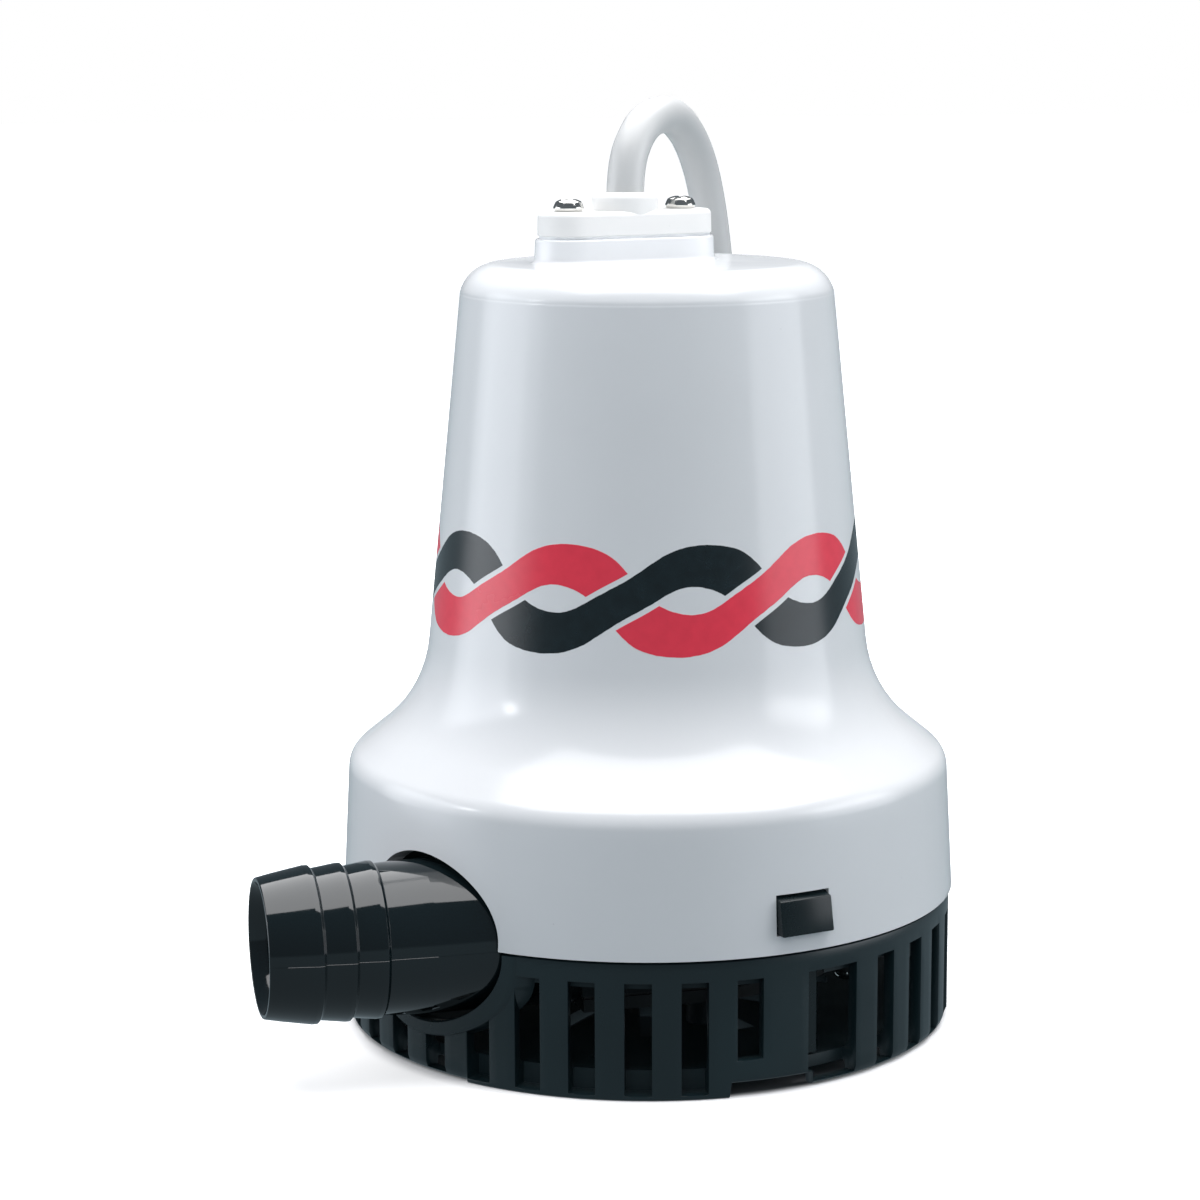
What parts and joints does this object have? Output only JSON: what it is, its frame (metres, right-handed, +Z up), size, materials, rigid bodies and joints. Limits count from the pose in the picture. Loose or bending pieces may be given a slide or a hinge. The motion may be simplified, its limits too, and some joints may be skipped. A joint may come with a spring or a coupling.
{
  "type": "submersible pump",
  "caption": "Submersible bilge and sump pump: white bell-shaped motor housing, tangential barbed hose outlet, slotted black strainer base and a looped supply cord.",
  "frame": {"origin": "on the body axis at the underside of the feet, the centre of the three fixing holes' circle", "axes": "+Z up along the body and motor axis; the hose outlet points along -X, in front of the axis"},
  "size_m": [0.1517, 0.2295, 0.1795],
  "materials": {
    "white_plastic": "glossy white moulded ABS",
    "white_cap": "white moulded plastic",
    "black_gloss": "glossy black moulded plastic",
    "black_satin": "satin black moulded plastic",
    "inner_black": "black moulded plastic, inside",
    "grey_plastic": "light grey moulded plastic",
    "brown_board": "brown laminate board",
    "seal_rubber": "black sealing rubber",
    "stainless": "stainless steel",
    "zinc_steel": "zinc plated steel",
    "ferrite": "dark sintered ferrite",
    "lamination": "stacked steel laminations",
    "copper": "enamelled copper wire",
    "commutator_copper": "machined copper segments",
    "bronze": "sintered bronze",
    "carbon": "carbon",
    "spring_steel": "spring steel",
    "cord_white": "white flexible jacket",
    "wire_brown": "brown insulation",
    "wire_black": "black insulation",
    "tie_black": "black plastic tie"
  },
  "bodies": {
    "pump": {"motor_housing": "white_plastic", "cable_cap": "white_cap", "cap_gasket": "seal_rubber", "cable_grommet": "seal_rubber", "cap_screws": "stainless", "seal_plate": "inner_black", "seal_plate_o_ring": "seal_rubber", "seal_plate_screws": "stainless", "shaft_seal": "seal_rubber", "volute_casing": "black_gloss", "suction_cover": "inner_black", "volute_gasket": "seal_rubber", "volute_screws": "stainless", "motor_can": "zinc_steel", "field_magnet_right": "ferrite", "field_magnet_left": "ferrite", "motor_front_plate": "zinc_steel", "lower_bearing": "bronze", "motor_end_cap": "zinc_steel", "upper_bearing": "bronze", "motor_bolts": "zinc_steel", "thrust_washers": "brown_board", "brush_card": "brown_board", "brush_right": "carbon", "brush_left": "carbon", "brush_springs": "spring_steel", "motor_leads": "wire_black", "strainer_basket": "black_satin", "power_cord": "cord_white", "power_cord_coil": "cord_white", "power_cord_tail": "cord_white", "lead_wire_positive": "wire_brown", "lead_wire_negative": "wire_black", "cord_tie": "tie_black"},
    "rotor": {"motor_shaft": "stainless", "impeller": "grey_plastic", "impeller_nut": "stainless", "armature_core": "lamination", "armature_windings": "copper", "commutator": "commutator_copper"},
    "lock_tab_front": {"lock_tab_front": "black_gloss"},
    "lock_tab_rear": {"lock_tab_rear": "black_gloss"}
  },
  "joints": [
    {"name": "rotor_spin", "type": "hinge", "parent": "pump", "child": "rotor", "pos_m": [0, 0, 0.03], "axis": [0, 0, 1], "continuous": true},
    {"name": "lock_tab_front_press", "type": "hinge", "parent": "pump", "child": "lock_tab_front", "pos_m": [0.01184, -0.05432, 0.006], "axis": [-0.977, -0.213, 0], "range_deg": [0, 10], "stiffness_Nm_per_rad": 0.6},
    {"name": "lock_tab_rear_press", "type": "hinge", "parent": "pump", "child": "lock_tab_rear", "pos_m": [-0.01184, 0.05432, 0.006], "axis": [0.977, 0.213, 0], "range_deg": [0, 10], "stiffness_Nm_per_rad": 0.6}
  ]
}
